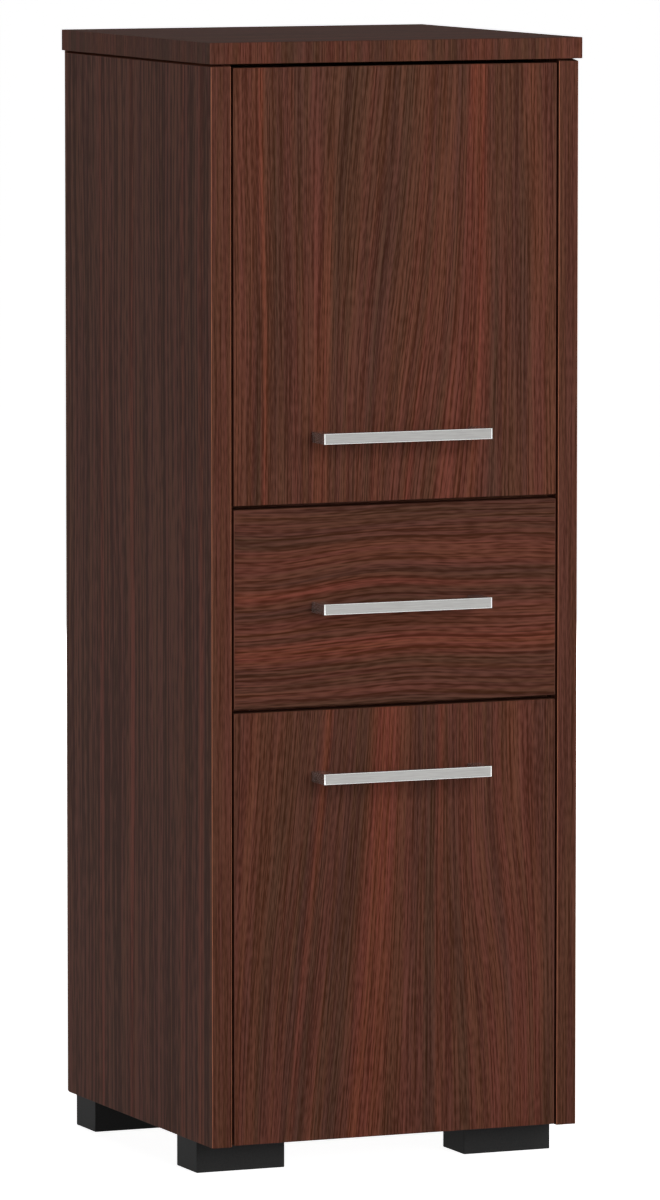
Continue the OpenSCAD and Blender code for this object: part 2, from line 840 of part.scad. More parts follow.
module hinge_screw_set() {
    for (s = [-1, 1])
        translate([0, plate_screw_in, s * plate_screw_pitch / 2]) {
            rod_x(-screw_in, plate_wing_t, 0, 0, screw_r);
            rod_x(plate_wing_t, plate_wing_t + screw_head_t, 0, 0, screw_head_r);
        }
    head = arm_seat + arm_web_t;
    rod_x(arm_screw_end, head, arm_screw_y, 0, arm_screw_r);
    rod_x(head, head + screw_head_t, arm_screw_y, 0, screw_head_r);
}

module upper_door_hinge_arms() {
    color(steel) at_hinges(upper_hinge_levels) hinge_arm();
}

module lower_door_hinge_arms() {
    color(steel) at_hinges(lower_hinge_levels) hinge_arm();
}

module hinge_plates() {
    color(steel) at_hinges(concat(upper_hinge_levels, lower_hinge_levels)) hinge_plate();
}

module hinge_pins() {
    color(steel) at_hinges(concat(upper_hinge_levels, lower_hinge_levels)) hinge_pin_pair();
}

module hinge_screws() {
    color(steel) at_hinges(concat(upper_hinge_levels, lower_hinge_levels)) hinge_screw_set();
}

// Doors
module door_panel(z0, h, hinge_levels, handle_z) {
    difference() {
        block([-x_front, y_front, z0], [x_front, y_door_back, z0 + h]);
        at_hinges(hinge_levels) cup_hole();
        handle_screw_passage(handle_z);
    }
}

module upper_door_panel() {
    color(wood) door_panel(z_upper_door, upper_door_h, upper_hinge_levels, upper_handle_z);
}

module upper_door_handle() {
    color(satin) handle(upper_handle_z);
}

module upper_door_handle_screws() {
    handle_screw_pair(upper_handle_z);
}

module upper_door_hinge_cups() {
    color(steel) at_hinges(upper_hinge_levels) hinge_cup();
}

module upper_door_cup_screws() {
    color(steel) at_hinges(upper_hinge_levels) cup_screw_pair();
}

module upper_door_inner_links() {
    color(steel) at_hinges(upper_hinge_levels) inner_link();
}

module upper_door_outer_links() {
    color(steel) at_hinges(upper_hinge_levels) outer_link();
}

module lower_door_panel() {
    color(wood) door_panel(z_lower_door, lower_door_h, lower_hinge_levels, lower_handle_z);
}

module lower_door_handle() {
    color(satin) handle(lower_handle_z);
}

module lower_door_handle_screws() {
    handle_screw_pair(lower_handle_z);
}

module lower_door_hinge_cups() {
    color(steel) at_hinges(lower_hinge_levels) hinge_cup();
}

module lower_door_cup_screws() {
    color(steel) at_hinges(lower_hinge_levels) cup_screw_pair();
}

module lower_door_inner_links() {
    color(steel) at_hinges(lower_hinge_levels) inner_link();
}

module lower_door_outer_links() {
    color(steel) at_hinges(lower_hinge_levels) outer_link();
}

// Drawer box
module at_drawer_cams() {
    for (s = [-1, 1])
        for (z = drawer_cam_levels)
            translate([s * (drawer_x - drawer_board_t / 2), y_door_back, z])
                mirror([s > 0 ? 1 : 0, 0, 0]) children();
}

// In this frame Y = 0 is the back of the drawer front and the cam opens towards +X
module drawer_cam_hole() {
    rod_y(-cut, drawer_cam_in, 0, 0, drawer_bolt_r + hole_fit);
    rod_x(drawer_board_t / 2 - drawer_cam_depth, drawer_board_t / 2 + cut,
          drawer_cam_in, 0, drawer_cam_r + hole_fit);
}

module drawer_bolt_hole() {
    rod_y(-drawer_bolt_thread - hole_fit, cut, 0, 0, drawer_bolt_r + hole_fit);
}

module drawer_cam() {
    face = drawer_board_t / 2 - cam_recess;
    difference() {
        rod_x(drawer_board_t / 2 - drawer_cam_depth, face, drawer_cam_in, 0, drawer_cam_r);
        rod_y(drawer_cam_in - drawer_cam_r - cut, drawer_cam_in + bolt_head_l,
              0, 0, drawer_bolt_r + cam_play);
        translate([face - cam_slot.z, drawer_cam_in - cam_slot.x / 2, -cam_slot.y / 2])
            cube([cam_slot.z + cut, cam_slot.x, cam_slot.y]);
    }
}

module drawer_bolt() {
    rod_y(-drawer_bolt_thread, drawer_cam_in, 0, 0, drawer_bolt_r);
}

module drawer_front() {
    color(wood) difference() {
        block([-x_front, y_front, z_drawer], [x_front, y_door_back, z_drawer + drawer_front_h]);
        handle_screw_passage(drawer_handle_z);
        at_drawer_cams() drawer_bolt_hole();
        drawer_groove();
    }
}

// The groove, cut in the front and the sides, that holds the drawer bottom
module drawer_groove() {
    x = drawer_inner_x + groove_in + groove_play;
    block([-x, y_door_back - groove_in - groove_play, z_groove - groove_play],
          [x, drawer_y[1] + cut, z_groove + drawer_bottom_t + groove_play]);
}

module drawer_side(s) {
    difference() {
        block([s > 0 ? drawer_inner_x : -drawer_x, drawer_y[0], z_drawer_box],
              [s > 0 ? drawer_x : -drawer_inner_x, drawer_y[1], z_drawer_box + drawer_side_h]);
        drawer_groove();
        at_drawer_cams() drawer_cam_hole();
        at_box_screws() box_screw_hole();
        at_runner(s)
            for (v = drawer_screw_rows)
                rod_x(runner_space - cut, runner_space + drawer_screw_in + hole_fit,
                      drawer_y[0] + v, runner_screw_z, screw_r + hole_fit);
    }
}

module drawer_left_side() {
    color(side_wood) drawer_side(-1);
}

module drawer_right_side() {
    color(side_wood) drawer_side(1);
}

module drawer_back() {
    color(side_wood) difference() {
        block([-drawer_inner_x, drawer_y[1] - drawer_board_t, z_groove + drawer_bottom_t + groove_play],
              [drawer_inner_x, drawer_y[1], z_drawer_box + drawer_side_h]);
        at_box_screws() box_screw_hole();
    }
}

module drawer_bottom() {
    x = drawer_inner_x + groove_in;
    color(hardboard)
        block([-x, y_door_back - groove_in, z_groove], [x, drawer_y[1], z_groove + drawer_bottom_t]);
}

module at_box_screws() {
    for (s = [-1, 1])
        for (z = box_screw_levels)
            translate([s * drawer_x, drawer_y[1] - drawer_board_t / 2, z])
                mirror([s > 0 ? 1 : 0, 0, 0]) children();
}

module box_screw_hole() {
    rod_x(-cut, box_screw_l + hole_fit, 0, 0, box_screw_r + hole_fit);
    rod_x(-cut, box_screw_head_t + hole_fit, 0, 0, box_screw_head_r + hole_fit);
}

module box_screw() {
    rod_x(0, box_screw_l, 0, 0, box_screw_r);
    rod_x(0, box_screw_head_t, 0, 0, box_screw_head_r);
}

module drawer_handle() {
    color(satin) handle(drawer_handle_z);
}

module drawer_handle_screws() {
    handle_screw_pair(drawer_handle_z);
}

module drawer_cam_locks() {
    color(steel) at_drawer_cams() drawer_cam();
}

module drawer_cam_bolts() {
    color(steel) at_drawer_cams() drawer_bolt();
}

module drawer_screws() {
    color(steel) {
        at_box_screws() box_screw();
        for (s = [-1, 1])
            at_runner(s)
                for (v = drawer_screw_rows)
                    translate([runner_space, drawer_y[0] + v, runner_screw_z]) {
                        rod_x(-runner_t, drawer_screw_in, 0, 0, screw_r);
                        rod_x(-runner_t - screw_head_t, -runner_t, 0, 0, screw_head_r);
                    }
    }
}

// Roller runners
module cabinet_runner() {
    y = cabinet_runner_y;
    axle_end = front_roller_x + roller_w + roller_side_gap;
    difference() {
        union() {
            block([0, y[0], runner_low], [runner_t, y[1], cabinet_rail_top]);
            block([0, y[0], runner_low], [cabinet_lip, y[1], runner_low + runner_t]);
            block([0, front_roller_y + roller_end_in, cabinet_rail_top - runner_t],
                  [cabinet_lip, y[1], cabinet_rail_top]);
        }
        for (v = cabinet_screw_rows)
            rod_x(-cut, runner_t + cut, y[0] + v, runner_screw_z, screw_r + hole_fit);
    }
    rod_x(runner_t - hole_fit, axle_end + hole_fit, front_roller_y, front_roller_z, axle_r);
    rod_x(axle_end, axle_end + axle_head_t, front_roller_y, front_roller_z, axle_head_r);
}

module drawer_runner() {
    y = drawer_y;
    web = runner_space - runner_t;
    axle_end = rear_roller_x - roller_side_gap;
    difference() {
        union() {
            block([web, y[0], runner_low], [runner_space, y[1], flange_low + runner_t]);
            block([web, y[0], runner_low], [runner_space + drawer_board_t, y[1], runner_low + runner_t]);
            block([drawer_flange_x, y[0], flange_low], [runner_space, y[1], flange_low + runner_t]);
        }
        for (v = drawer_screw_rows)
            rod_x(web - cut, runner_space + cut, y[0] + v, runner_screw_z, screw_r + hole_fit);
    }
    rod_x(axle_end - hole_fit, web + hole_fit, rear_roller_y, 0, axle_r);
    rod_x(axle_end - axle_head_t, axle_end, rear_roller_y, 0, axle_head_r);
}

module roller(x, y, z) {
    difference() {
        rod_x(x, x + roller_w, y, z, roller_r);
        rod_x(x - cut, x + roller_w + cut, y, z, axle_r + axle_run);
    }
}

module left_cabinet_runner() {
    color(nylon) at_runner(-1) cabinet_runner();
}

module right_cabinet_runner() {
    color(nylon) at_runner(1) cabinet_runner();
}

module cabinet_runner_screws() {
    color(steel)
        for (s = [-1, 1])
            at_runner(s)
                for (v = cabinet_screw_rows)
                    translate([0, cabinet_runner_y[0] + v, runner_screw_z]) {
                        rod_x(-screw_in, runner_t, 0, 0, screw_r);
                        rod_x(runner_t, runner_t + screw_head_t, 0, 0, screw_head_r);
                    }
}

module left_drawer_runner() {
    color(nylon) at_runner(-1) drawer_runner();
}

module right_drawer_runner() {
    color(nylon) at_runner(1) drawer_runner();
}

module left_cabinet_roller() {
    color(nylon) at_runner(-1) roller(front_roller_x, front_roller_y, front_roller_z);
}

module right_cabinet_roller() {
    color(nylon) at_runner(1) roller(front_roller_x, front_roller_y, front_roller_z);
}

module left_drawer_roller() {
    color(nylon) at_runner(-1) roller(rear_roller_x, rear_roller_y, 0);
}

module right_drawer_roller() {
    color(nylon) at_runner(1) roller(rear_roller_x, rear_roller_y, 0);
}

top_panel();
left_side_panel();
right_side_panel();
bottom_panel();
upper_divider();
lower_divider();
back_panel();
upper_shelf();
lower_shelf();
shelf_pins();
front_left_foot();
front_right_foot();
rear_left_foot();
rear_right_foot();
foot_screws();
cam_locks();
cam_bolts();
dowels();
back_panel_nails();
front_bumpers();
upper_door_hinge_arms();
lower_door_hinge_arms();
hinge_plates();
hinge_pins();
hinge_screws();
left_cabinet_runner();
right_cabinet_runner();
cabinet_runner_screws();
left_cabinet_roller();
right_cabinet_roller();
upper_door_panel();
upper_door_handle();
upper_door_handle_screws();
upper_door_hinge_cups();
upper_door_cup_screws();
upper_door_inner_links();
upper_door_outer_links();
lower_door_panel();
lower_door_handle();
lower_door_handle_screws();
lower_door_hinge_cups();
lower_door_cup_screws();
lower_door_inner_links();
lower_door_outer_links();
drawer_front();
drawer_left_side();
drawer_right_side();
drawer_back();
drawer_bottom();
drawer_handle();
drawer_handle_screws();
drawer_cam_locks();
drawer_cam_bolts();
drawer_screws();
left_drawer_runner();
right_drawer_runner();
left_drawer_roller();
right_drawer_roller();
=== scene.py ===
"""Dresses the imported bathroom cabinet: two doors and a drawer in a foil-wrapped carcass on block feet.

Lengths are in metres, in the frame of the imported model: X to the right, Y to the rear and Z up.
"""

import json
import logging
import math
from dataclasses import dataclass, field
from enum import Enum
from typing import Iterable

import bmesh
import bpy
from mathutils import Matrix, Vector

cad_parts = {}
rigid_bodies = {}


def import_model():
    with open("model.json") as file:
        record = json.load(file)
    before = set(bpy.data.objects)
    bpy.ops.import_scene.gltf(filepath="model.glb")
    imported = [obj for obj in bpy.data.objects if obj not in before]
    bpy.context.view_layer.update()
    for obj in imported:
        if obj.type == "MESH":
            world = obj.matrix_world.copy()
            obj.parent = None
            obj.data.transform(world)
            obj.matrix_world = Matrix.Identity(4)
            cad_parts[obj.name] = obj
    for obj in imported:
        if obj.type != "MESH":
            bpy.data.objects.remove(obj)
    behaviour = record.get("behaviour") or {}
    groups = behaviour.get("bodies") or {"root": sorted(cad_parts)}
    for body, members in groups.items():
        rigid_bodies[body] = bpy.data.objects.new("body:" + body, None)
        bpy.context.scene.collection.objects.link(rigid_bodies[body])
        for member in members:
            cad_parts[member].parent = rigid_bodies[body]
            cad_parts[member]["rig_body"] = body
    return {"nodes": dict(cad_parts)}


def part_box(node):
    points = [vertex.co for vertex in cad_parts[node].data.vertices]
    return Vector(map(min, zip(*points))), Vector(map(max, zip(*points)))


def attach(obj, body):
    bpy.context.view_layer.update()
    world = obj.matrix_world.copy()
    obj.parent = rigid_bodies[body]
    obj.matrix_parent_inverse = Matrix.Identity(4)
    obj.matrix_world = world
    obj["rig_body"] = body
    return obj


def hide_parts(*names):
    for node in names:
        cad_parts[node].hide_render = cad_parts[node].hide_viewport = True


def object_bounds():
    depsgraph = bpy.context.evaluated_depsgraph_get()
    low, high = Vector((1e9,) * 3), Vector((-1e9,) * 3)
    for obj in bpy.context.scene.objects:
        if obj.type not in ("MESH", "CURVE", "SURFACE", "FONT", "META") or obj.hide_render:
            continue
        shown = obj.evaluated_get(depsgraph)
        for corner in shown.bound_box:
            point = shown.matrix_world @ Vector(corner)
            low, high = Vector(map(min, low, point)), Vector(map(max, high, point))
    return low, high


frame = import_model()
CAD_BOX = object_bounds()
MERGE_DISTANCE = 2e-6
FLAT_ANGLE = math.radians(0.5)
SMOOTH_ANGLE = math.radians(32)
ON_PLANE = 1e-5
SQUARE = 0.99
WHITE = (1.0, 1.0, 1.0, 1.0)
LOG = logging.getLogger("bathroom_cabinet")

Socket = bpy.types.NodeSocket
Triple = tuple[float, float, float]


def linear(red: int, green: int, blue: int) -> tuple[float, float, float, float]:
    """Turns a colour as a screen shows it, 0 to 255, into the linear one that shaders take.

    Args:
        red: The red share.
        green: The green share.
        blue: The blue share.

    Returns:
        The linear colour with full opacity.
    """
    straight_end, straight_slope, offset, power = 0.04045, 12.92, 0.055, 2.4

    def channel(value: int) -> float:
        """Works out one linear channel of the sRGB curve.

        Args:
            value: The channel as a screen shows it.

        Returns:
            The linear share, from 0 to 1.
        """
        share = value / 255
        if share <= straight_end:
            return share / straight_slope
        return ((share + offset) / (1 + offset)) ** power

    return (channel(red), channel(green), channel(blue), 1.0)


def add_object(name: str, data: bpy.types.ID) -> bpy.types.Object:
    """Makes an object and puts it into the scene.

    Args:
        name: The object's name.
        data: Its mesh, light or camera.

    Returns:
        The new object.
    """
    made = bpy.data.objects.new(name, data)
    bpy.context.scene.collection.objects.link(made)
    return made


class Lie(Enum):
    """How a foil lies on a board: the axes across the grain, through the board and along the grain."""

    UPRIGHT_FRONT = "XYZ"
    UPRIGHT_SIDE = "YXZ"
    LEVEL_FRONT = "ZYX"
    LEVEL_BOARD = "YZX"
    LEVEL_SIDE = "ZXY"


class Graph:
    """A material's node tree, with short calls for what the finishes share.

    A Mix node has a set of sockets for each type of data. The indices here are those of the colours.
    """

    MIX_INPUTS = (0, 6, 7)
    MIX_RESULT = 2

    def __init__(self, name: str) -> None:
        """Starts a material with one Principled shader.

        Args:
            name: The material's name.
        """
        self.material = bpy.data.materials.new(name)
        self.material.use_nodes = True
        self.tree = self.material.node_tree
        self.shader = self.tree.nodes["Principled BSDF"]
        self.place = self.tree.nodes.new("ShaderNodeTexCoord").outputs["Object"]

    def node(self, kind: str, **settings: object) -> bpy.types.Node:
        """Adds a node.

        Args:
            kind: The node's type.
            **settings: Properties of the node.

        Returns:
            The new node.
        """
        made = self.tree.nodes.new(kind)
        for key, value in settings.items():
            setattr(made, key, value)
        return made

    def feed(self, socket: Socket, value: Socket | float | Iterable[float]) -> None:
        """Links a socket to another one, or sets its constant.

        Args:
            socket: The input to feed.
            value: An output socket or a constant.
        """
        if isinstance(value, Socket):
            self.tree.links.new(value, socket)
        else:
            socket.default_value = value

    def shade(self, **constants: object) -> None:
        """Sets the shader's own sockets.

        Args:
            **constants: Their values by name, where an underscore stands for a space.
        """
        for key, value in constants.items():
            self.feed(self.shader.inputs[key.replace("_", " ")], value)

    def math(self, operation: str, *values: Socket | float) -> Socket:
        """Adds a Math node.

        Args:
            operation: What it works out.
            *values: Its inputs in order.

        Returns:
            The result.
        """
        made = self.node("ShaderNodeMath", operation=operation)
        for socket, value in zip(made.inputs, values):
            self.feed(socket, value)
        return made.outputs[0]

    def combine(self, *values: Socket | float) -> Socket:
        """Makes a vector of three values.

        Args:
            *values: What its axes take, in the order X, Y and Z.

        Returns:
            The vector.
        """
        made = self.node("ShaderNodeCombineXYZ")
        for socket, value in zip(made.inputs, values):
            self.feed(socket, value)
        return made.outputs[0]

    def noise(
        self,
        vector: Socket,
        stretch: Triple,
        shift: Triple = (0.0, 0.0, 0.0),
        detail: float = 2.0,
        roughness: float = 0.5,
    ) -> Socket:
        """Adds noise whose cells are stretched.

        Args:
            vector: The coordinates, in metres.
            stretch: Cells per metre along each axis.
            shift: Moves the pattern, in cells.
            detail: Octaves of detail.
            roughness: How strong each octave is.

        Returns:
            The noise, about 0.5 on average.
        """
        mapping = self.node("ShaderNodeMapping")
        self.feed(mapping.inputs["Vector"], vector)
        mapping.inputs["Scale"].default_value = stretch
        mapping.inputs["Location"].default_value = shift
        made = self.node("ShaderNodeTexNoise")
        self.feed(made.inputs["Vector"], mapping.outputs[0])
        made.inputs["Scale"].default_value = 1.0
        made.inputs["Detail"].default_value = detail
        made.inputs["Roughness"].default_value = roughness
        return made.outputs[0]

    def spread(
        self,
        value: Socket,
        low: float,
        high: float,
        to_low: float = 0.0,
        to_high: float = 1.0,
    ) -> Socket:
        """Maps a range of a value smoothly onto another one.

        Args:
            value: The value to map.
            low: Start of its range.
            high: End of its range.
            to_low: What the start becomes.
            to_high: What the end becomes.

        Returns:
            The mapped value.
        """
        made = self.node("ShaderNodeMapRange", interpolation_type="SMOOTHSTEP")
        for socket, number in zip(made.inputs, (value, low, high, to_low, to_high)):
            self.feed(socket, number)
        return made.outputs[0]

    def mix(
        self,
        factor: Socket | float,
        first: Socket | Iterable[float],
        second: Socket | Iterable[float],
        blend: str = "MIX",
    ) -> Socket:
        """Mixes two colours.

        Args:
            factor: The share of the second colour.
            first: The first colour.
            second: The second colour.
            blend: The blend type.

        Returns:
            The mixed colour.
        """
        made = self.node("ShaderNodeMix", data_type="RGBA", blend_type=blend)
        for index, value in zip(self.MIX_INPUTS, (factor, first, second)):
            self.feed(made.inputs[index], value)
        return made.outputs[self.MIX_RESULT]

    def ramp(self, value: Socket, stops: Iterable[tuple[float, tuple[float, ...]]]) -> Socket:
        """Colours a value.

        Args:
            value: The value to colour.
            stops: Places from 0 to 1, each with a linear colour.

        Returns:
            The colour.
        """
        made = self.node("ShaderNodeValToRGB")
        self.feed(made.inputs[0], value)
        elements = made.color_ramp.elements
        for index, (place, colour) in enumerate(stops):
            element = elements[index] if index < len(elements) else elements.new(place)
            element.position = place
            element.color = colour
        return made.outputs[0]

    def grain_axes(self, lie: Lie) -> tuple[Socket, Socket, Socket]:
        """Splits the place on a board into the axes of its grain.

        Args:
            lie: How the foil lies on the board.

        Returns:
            The coordinates across the grain, through the board and along the grain.
        """
        split = self.node("ShaderNodeSeparateXYZ")
        self.feed(split.inputs[0], self.place)
        return tuple(split.outputs["XYZ".index(axis)] for axis in lie.value)

    def bump(self, height: Socket, distance: float, strength: float = 1.0) -> None:
        """Gives the surface a fine relief.

        Args:
            height: How high each place is, from 0 to 1.
            distance: What the height is multiplied by, in metres.
            strength: The share of the relief that shows.
        """
        made = self.node("ShaderNodeBump")
        made.inputs["Strength"].default_value = strength
        made.inputs["Distance"].default_value = distance
        self.feed(made.inputs["Height"], height)
        self.feed(self.shader.inputs["Normal"], made.outputs[0])


@dataclass(frozen=True)
class Accent:
    """A reddish band that runs along the grain.

    Attributes:
        across: Its middle, across the grain.
        half_width: Half its width.
        strength: The share of red in its middle.
    """

    across: float
    half_width: float
    strength: float


@dataclass(frozen=True)
class Sway:
    """A place where the fibres lean sideways, and past which they run straight again.

    Attributes:
        across: Its middle, across the grain.
        along: Its middle, along the grain.
        half_width: Half its width, over which the lean fades out.
        half_length: Half the length over which the fibres lean.
        lean: The fibres' slope in its middle.
    """

    across: float
    along: float
    half_width: float
    half_length: float
    lean: float


@dataclass(frozen=True)
class WoodFoil:
    """Dark brown wood-grain foil with fine fibres, rusty bands and a softly leaning figure.

    The constants of three numbers from BANDS to TICKS are cells per metre: across the grain, through the
    board and along the grain. Limits are the ends of a pattern's range, and then what the ends become,
    where that isn't 0 and 1.

    Attributes:
        name: The material's name.
        lie: How the foil lies on its board.
        seed: Shifts its patterns, so that no two boards look alike.
        figure: How far the fibres wander to either side.
        wander: Cells per metre of that wandering, across and along the grain.
        sways: The places where the figure leans.
        accents: The reddish bands.
        coarse: How many times coarser the fibres are than the doors'.
        contrast: How sharply light fibres stand out from dark ones.
        straight: The share of long fibres. The rest are lines and ticks.
        rust: How far the rusty bands stand out from the brown.
        tone: The brightness of the whole foil. On the top face it is lowered, which paints shade there, as
            light falls mostly from the front.
        gloss: The shader's specular level.
    """

    name: str
    lie: Lie
    seed: Triple
    figure: float = 0.004
    wander: tuple[float, float] = (12.0, 4.0)
    sways: tuple[Sway, ...] = ()
    accents: tuple[Accent, ...] = ()
    coarse: float = 1.0
    contrast: float = 1.0
    straight: float = 0.42
    rust: float = 1.0
    tone: float = 1.0
    gloss: float = 0.018

    BROWN = linear(76, 49, 38)
    RUST = linear(97, 55, 42)
    EMBER = linear(110, 57, 42)
    PORE = linear(58, 34, 27)
    SHADED = (0.56, 0.50, 0.44, 1.0)
    LIT = (1.46, 1.55, 1.66, 1.0)
    OLIVE = (0.985, 1.03, 0.95, 1.0)
    PLUM = (1.01, 0.965, 1.04, 1.0)
    BANDS = (30.0, 30.0, 1.6)
    STREAKS = (140.0, 140.0, 3.0)
    TINTS = (190.0, 190.0, 5.0)
    FIBRES = (950.0, 950.0, 7.0)
    STROKES = (1100.0, 1100.0, 22.0)
    TICKS = (1100.0, 1100.0, 140.0)
    STROKE_SHIFT = 1.9
    BAND_SHARE = 0.62
    RUST_LIMITS = (0.32, 0.68)
    EMBER_LIMITS = (0.15, 0.7, 0.45, 1.0)
    TINT_LIMITS = (0.34, 0.66)
    LINE_SHARE = 0.46
    MIDDLE = 0.5
    LIGHT_REACH = 0.2
    PORE_LIMITS = (0.64, 0.78, 0.0, 0.4)
    ROUGHNESS = 0.5
    RELIEF = 0.00004
    RELIEF_STRENGTH = 0.4

    def cells(self, counts: Triple) -> Triple:
        """Scales a pattern, so that it has fewer cells where the foil is coarse.

        Args:
            counts: The pattern's cells per metre.

        Returns:
            The cells per metre on this foil.
        """
        return tuple(count / self.coarse for count in counts)

    def flow(self, graph: Graph) -> Socket:
        """Bends the board's coordinates, so that the fibres wander and lean as the figure asks.

        Args:
            graph: The material's node tree.

        Returns:
            Coordinates whose first axis runs across the bent fibres.
        """
        across, depth, along = graph.grain_axes(self.lie)
        wide, long = self.wander
        place = graph.combine(across, depth, along)
        drift = graph.noise(place, (wide, wide, long), shift=self.seed, detail=0.0)
        bent = graph.math("MULTIPLY_ADD", drift, self.figure * 2, across)
        for sway in self.sways:
            off = graph.math("ABSOLUTE", graph.math("SUBTRACT", across, sway.across))
            share = graph.spread(off, 0.0, sway.half_width, 1.0, 0.0)
            rise = graph.math("DIVIDE", graph.math("SUBTRACT", along, sway.along), sway.half_length)
            shift = graph.math("MULTIPLY", graph.math("TANH", rise), -sway.lean * sway.half_length)
            bent = graph.math("MULTIPLY_ADD", shift, share, bent)
        return graph.combine(bent, depth, along)

    def warmth(self, graph: Graph, flow: Socket) -> Socket:
        """Works out how rusty the foil is, from broad bands and narrower streaks.

        Args:
            graph: The material's node tree.
            flow: The bent coordinates.

        Returns:
            The share of rust, from 0 to 1.
        """
        bands = graph.noise(flow, self.BANDS, shift=self.seed, detail=1.0)
        streaks = graph.noise(flow, self.STREAKS, shift=self.seed, detail=1.0)
        rest = graph.math("MULTIPLY", streaks, 1 - self.BAND_SHARE)
        tone = graph.math("MULTIPLY_ADD", bands, self.BAND_SHARE, rest)
        half = self.rust / 2
        return graph.spread(tone, *self.RUST_LIMITS, self.MIDDLE - half, self.MIDDLE + half)

    def embers(self, graph: Graph, flow: Socket, warmth: Socket) -> Socket:
        """Works out where the reddish accent bands lie.

        Args:
            graph: The material's node tree.
            flow: The bent coordinates.
            warmth: The rusty streaks, which break the bands up.

        Returns:
            The share of red.
        """
        split = graph.node("ShaderNodeSeparateXYZ")
        graph.feed(split.inputs[0], flow)
        broken = graph.spread(warmth, *self.EMBER_LIMITS)
        share: Socket | float = 0.0
        for accent in self.accents:
            off = graph.math("ABSOLUTE", graph.math("SUBTRACT", split.outputs[0], accent.across))
            band = graph.spread(off, 0.0, accent.half_width, accent.strength, 0.0)
            share = graph.math("MAXIMUM", share, graph.math("MULTIPLY", band, broken))
        return share

    def colour(self, graph: Graph, flow: Socket) -> Socket:
        """Works out the foil's colour from rusty bands, accents, tints, fibres, lines, ticks and pores.

        Args:
            graph: The material's node tree.
            flow: The bent coordinates.

        Returns:
            The colour.
        """
        warmth = self.warmth(graph, flow)
        colour = graph.mix(warmth, self.BROWN, self.RUST)
        colour = graph.mix(self.embers(graph, flow, warmth), colour, self.EMBER)
        tints = graph.noise(flow, self.TINTS, shift=self.seed, detail=1.0)
        tint = graph.mix(graph.spread(tints, *self.TINT_LIMITS), self.OLIVE, self.PLUM)
        colour = graph.mix(1.0, colour, tint, blend="MULTIPLY")
        fibres = graph.noise(flow, self.cells(self.FIBRES), shift=self.seed, detail=0.0)
        strokes = graph.noise(flow, self.cells(self.STROKES), shift=self.seed, detail=0.0)
        beside = graph.noise(flow, self.cells(self.STROKES), detail=0.0,
                             shift=(self.seed[0] + self.STROKE_SHIFT, *self.seed[1:]))
        lines = graph.math("ADD", graph.math("SUBTRACT", strokes, beside), self.MIDDLE)
        ticks = graph.noise(flow, self.cells(self.TICKS), shift=self.seed, detail=0.0)
        broken = 1.0 - self.straight
        light = graph.math("MULTIPLY", fibres, self.straight)
        light = graph.math("MULTIPLY_ADD", lines, self.LINE_SHARE * broken, light)
        light = graph.math("MULTIPLY_ADD", ticks, (1 - self.LINE_SHARE) * broken, light)
        reach = self.LIGHT_REACH / self.contrast
        shaded = graph.mix(1.0, colour, self.SHADED, blend="MULTIPLY")
        lit = graph.mix(1.0, colour, self.LIT, blend="MULTIPLY")
        colour = graph.mix(graph.spread(light, self.MIDDLE - reach, self.MIDDLE + reach), shaded, lit)
        colour = graph.mix(graph.spread(strokes, *self.PORE_LIMITS), colour, self.PORE)
        # The tone scales the whole colour; below 1 on the top face it is painted shade.
        return graph.mix(1.0, colour, (self.tone, self.tone, self.tone, 1.0), blend="MULTIPLY")

    def build(self) -> bpy.types.Material:
        """Returns the finished material."""
        graph = Graph(self.name)
        flow = self.flow(graph)
        graph.feed(graph.shader.inputs["Base Color"], self.colour(graph, flow))
        graph.shade(Roughness=self.ROUGHNESS, Specular_IOR_Level=self.gloss)
        relief = graph.noise(flow, self.cells(self.STROKES), shift=self.seed, detail=1.0)
        graph.bump(relief, distance=self.RELIEF, strength=self.RELIEF_STRENGTH)
        return graph.material


@dataclass(frozen=True)
class Speckle:
    """A finish of one base colour with fine mottling, such as plastic, steel, hardboard or rubber.

    Attributes:
        name: The material's name.
        dark: The darkest colour, as a screen shows it.
        light: The lightest colour.
        cells: Cells per metre of the mottling along X, Y and Z.
        detail: Octaves of detail.
        metallic: The shader's metallic share.
        roughness: The shader's roughness.
        specular: The shader's specular level.
        relief: Height of the relief.
    """

    name: str
    dark: tuple[int, int, int]
    light: tuple[int, int, int]
    cells: Triple = (900.0, 900.0, 900.0)
    detail: float = 3.0
    metallic: float = 0.0
    roughness: float = 0.4
    specular: float = 0.5
    relief: float = 0.00002

    OCTAVE_STRENGTH = 0.6
    DARK_END = 0.35
    LIGHT_START = 0.65

    def build(self) -> bpy.types.Material:
        """Returns the finished material."""
        graph = Graph(self.name)
        grain = graph.noise(graph.place, self.cells, detail=self.detail, roughness=self.OCTAVE_STRENGTH)
        stops = ((self.DARK_END, linear(*self.dark)), (self.LIGHT_START, linear(*self.light)))
        colour = graph.ramp(grain, stops)
        graph.feed(graph.shader.inputs["Base Color"], colour)
        graph.shade(Metallic=self.metallic, Roughness=self.roughness, Specular_IOR_Level=self.specular)
        graph.bump(grain, distance=self.relief)
        return graph.material


